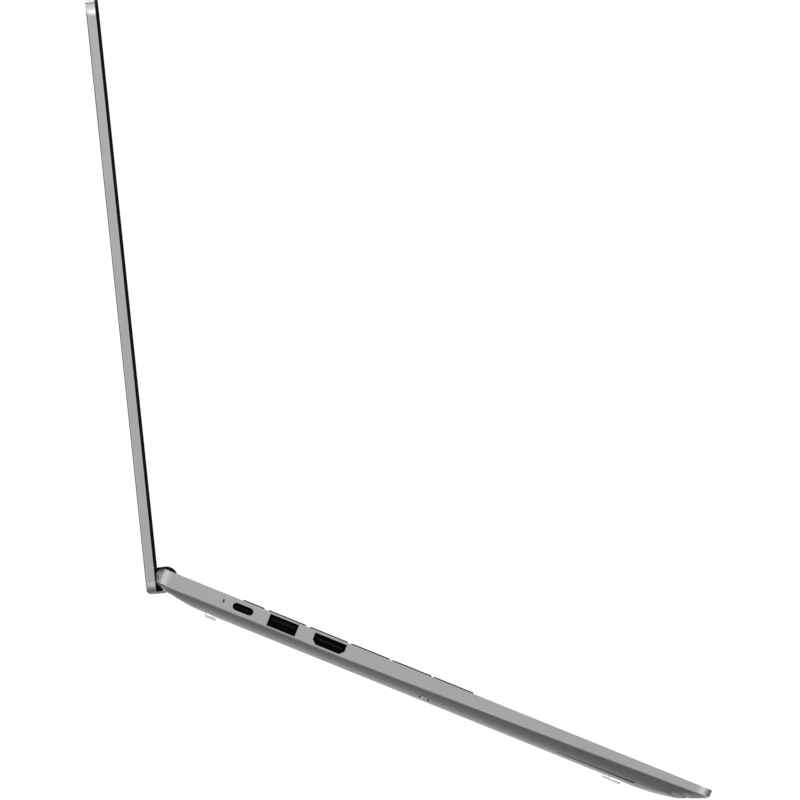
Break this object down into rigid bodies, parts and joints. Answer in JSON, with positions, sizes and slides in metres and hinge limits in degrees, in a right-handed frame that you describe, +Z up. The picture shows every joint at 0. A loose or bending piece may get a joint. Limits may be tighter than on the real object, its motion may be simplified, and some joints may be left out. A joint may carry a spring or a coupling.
{
  "type": "laptop computer",
  "caption": "Clamshell laptop computer with lid standing open on a friction hinge, full keyboard, touchpad, side sockets and rubber feet.",
  "frame": {"origin": "middle of the underside of the bounding box with the lid open 118 degrees, on the plane the rubber feet stand on", "axes": "+X to the user's right, -Y to the front edge of the base, +Z up"},
  "size_m": [0.357, 0.3672, 0.2229],
  "materials": {
    "case_metal": "fine blasted",
    "lid_metal": "fine blasted",
    "key_plastic": "matte",
    "black_plastic": "matte",
    "gasket_rubber": "matte",
    "foot_rubber": "clear satin",
    "pad_glass": "satin",
    "circuit_board": "solder resist",
    "copper_pipe": "satin",
    "steel_parts": "satin",
    "port_steel": "black nickel",
    "screen_panel": "gloss",
    "bezel_plastic": "matte",
    "lens_glass": "gloss",
    "light_pipe": "smoked gloss",
    "battery_skin": "matte"
  },
  "bodies": {
    "base": {"top_case": "case_metal", "bottom_cover": "case_metal", "bottom_screws": "steel_parts", "rubber_feet": "foot_rubber", "keyboard_backplate": "black_plastic", "motherboard": "circuit_board", "memory_module": "circuit_board", "ssd": "circuit_board", "radio_card": "circuit_board", "heat_pipe": "copper_pipe", "cooling_fins": "copper_pipe", "fan_housing_left": "black_plastic", "fan_housing_right": "black_plastic", "battery": "battery_skin", "speaker_left": "black_plastic", "speaker_right": "black_plastic", "port_board_left": "circuit_board", "port_board_right": "circuit_board", "usb_c_port": "port_steel", "usb_a_port_left": "port_steel", "hdmi_port": "port_steel", "usb_a_port_right": "port_steel", "audio_jack": "black_plastic", "charge_led": "light_pipe", "hinge_bracket_left": "steel_parts", "hinge_bracket_right": "steel_parts", "hinge_shafts": "steel_parts", "touchpad_support": "black_plastic"},
    "lid": {"lid_cover": "lid_metal", "lid_gasket": "gasket_rubber", "display_bezel": "bezel_plastic", "display_panel": "screen_panel", "camera_module": "lens_glass", "hinge_barrel": "black_plastic", "hinge_arm_left": "steel_parts", "hinge_arm_right": "steel_parts"},
    "touchpad": {"touchpad": "pad_glass"},
    "power_button": {"power_button": "key_plastic"},
    "fan_rotor_left": {"fan_rotor_left": "black_plastic"},
    "fan_rotor_right": {"fan_rotor_right": "black_plastic"},
    "key_escape": {"key_escape": "key_plastic"},
    "keys_function": {"keys_function": "key_plastic"},
    "keys_number": {"keys_number": "key_plastic"},
    "key_backspace": {"key_backspace": "key_plastic"},
    "key_tab": {"key_tab": "key_plastic"},
    "keys_upper": {"keys_upper": "key_plastic"},
    "key_caps_lock": {"key_caps_lock": "key_plastic"},
    "keys_home": {"keys_home": "key_plastic"},
    "key_enter": {"key_enter": "key_plastic"},
    "key_shift_left": {"key_shift_left": "key_plastic"},
    "keys_lower": {"keys_lower": "key_plastic"},
    "key_shift_right": {"key_shift_right": "key_plastic"},
    "keys_modifier": {"keys_modifier": "key_plastic"},
    "key_space": {"key_space": "key_plastic"},
    "key_left": {"key_left": "key_plastic"},
    "key_up": {"key_up": "key_plastic"},
    "key_down": {"key_down": "key_plastic"},
    "key_right": {"key_right": "key_plastic"}
  },
  "joints": [
    {"name": "lid_hinge", "type": "hinge", "parent": "base", "child": "lid", "pos_m": [0, 0.06159, 0.0092], "axis": [-1, 0, 0], "range_deg": [-118, 27]},
    {"name": "touchpad_click", "type": "hinge", "parent": "base", "child": "touchpad", "pos_m": [0, -0.0904, 0.01185], "axis": [1, 0, 0], "range_deg": [0, 0.3], "stiffness_Nm_per_rad": 12, "springref_deg": -0.11},
    {"name": "power_button_press", "type": "slide", "parent": "base", "child": "power_button", "axis": [0, 0, -1], "range_m": [0, 0.0006], "stiffness_N_per_m": 220, "springref_m": -0.001},
    {"name": "key_escape_press", "type": "slide", "parent": "base", "child": "key_escape", "axis": [0, 0, -1], "range_m": [0, 0.0013], "stiffness_N_per_m": 220, "springref_m": -0.001},
    {"name": "keys_function_press", "type": "slide", "parent": "base", "child": "keys_function", "axis": [0, 0, -1], "range_m": [0, 0.0013], "stiffness_N_per_m": 2860, "springref_m": -0.001},
    {"name": "keys_number_press", "type": "slide", "parent": "base", "child": "keys_number", "axis": [0, 0, -1], "range_m": [0, 0.0013], "stiffness_N_per_m": 2860, "springref_m": -0.001},
    {"name": "key_backspace_press", "type": "slide", "parent": "base", "child": "key_backspace", "axis": [0, 0, -1], "range_m": [0, 0.0013], "stiffness_N_per_m": 220, "springref_m": -0.001},
    {"name": "key_tab_press", "type": "slide", "parent": "base", "child": "key_tab", "axis": [0, 0, -1], "range_m": [0, 0.0013], "stiffness_N_per_m": 220, "springref_m": -0.001},
    {"name": "keys_upper_press", "type": "slide", "parent": "base", "child": "keys_upper", "axis": [0, 0, -1], "range_m": [0, 0.0013], "stiffness_N_per_m": 2860, "springref_m": -0.001},
    {"name": "key_caps_lock_press", "type": "slide", "parent": "base", "child": "key_caps_lock", "axis": [0, 0, -1], "range_m": [0, 0.0013], "stiffness_N_per_m": 220, "springref_m": -0.001},
    {"name": "keys_home_press", "type": "slide", "parent": "base", "child": "keys_home", "axis": [0, 0, -1], "range_m": [0, 0.0013], "stiffness_N_per_m": 2420, "springref_m": -0.001},
    {"name": "key_enter_press", "type": "slide", "parent": "base", "child": "key_enter", "axis": [0, 0, -1], "range_m": [0, 0.0013], "stiffness_N_per_m": 220, "springref_m": -0.001},
    {"name": "key_shift_left_press", "type": "slide", "parent": "base", "child": "key_shift_left", "axis": [0, 0, -1], "range_m": [0, 0.0013], "stiffness_N_per_m": 220, "springref_m": -0.001},
    {"name": "keys_lower_press", "type": "slide", "parent": "base", "child": "keys_lower", "axis": [0, 0, -1], "range_m": [0, 0.0013], "stiffness_N_per_m": 2200, "springref_m": -0.001},
    {"name": "key_shift_right_press", "type": "slide", "parent": "base", "child": "key_shift_right", "axis": [0, 0, -1], "range_m": [0, 0.0013], "stiffness_N_per_m": 220, "springref_m": -0.001},
    {"name": "keys_modifier_press", "type": "slide", "parent": "base", "child": "keys_modifier", "axis": [0, 0, -1], "range_m": [0, 0.0013], "stiffness_N_per_m": 1320, "springref_m": -0.001},
    {"name": "key_space_press", "type": "slide", "parent": "base", "child": "key_space", "axis": [0, 0, -1], "range_m": [0, 0.0013], "stiffness_N_per_m": 220, "springref_m": -0.001},
    {"name": "key_left_press", "type": "slide", "parent": "base", "child": "key_left", "axis": [0, 0, -1], "range_m": [0, 0.0013], "stiffness_N_per_m": 220, "springref_m": -0.001},
    {"name": "key_up_press", "type": "slide", "parent": "base", "child": "key_up", "axis": [0, 0, -1], "range_m": [0, 0.0013], "stiffness_N_per_m": 220, "springref_m": -0.001},
    {"name": "key_down_press", "type": "slide", "parent": "base", "child": "key_down", "axis": [0, 0, -1], "range_m": [0, 0.0013], "stiffness_N_per_m": 220, "springref_m": -0.001},
    {"name": "key_right_press", "type": "slide", "parent": "base", "child": "key_right", "axis": [0, 0, -1], "range_m": [0, 0.0013], "stiffness_N_per_m": 220, "springref_m": -0.001},
    {"name": "fan_left_spin", "type": "hinge", "parent": "base", "child": "fan_rotor_left", "pos_m": [-0.098, 0.0131, 0.0054], "axis": [0, 0, 1], "continuous": true},
    {"name": "fan_right_spin", "type": "hinge", "parent": "base", "child": "fan_rotor_right", "pos_m": [0.098, 0.0131, 0.0054], "axis": [0, 0, 1], "continuous": true}
  ]
}
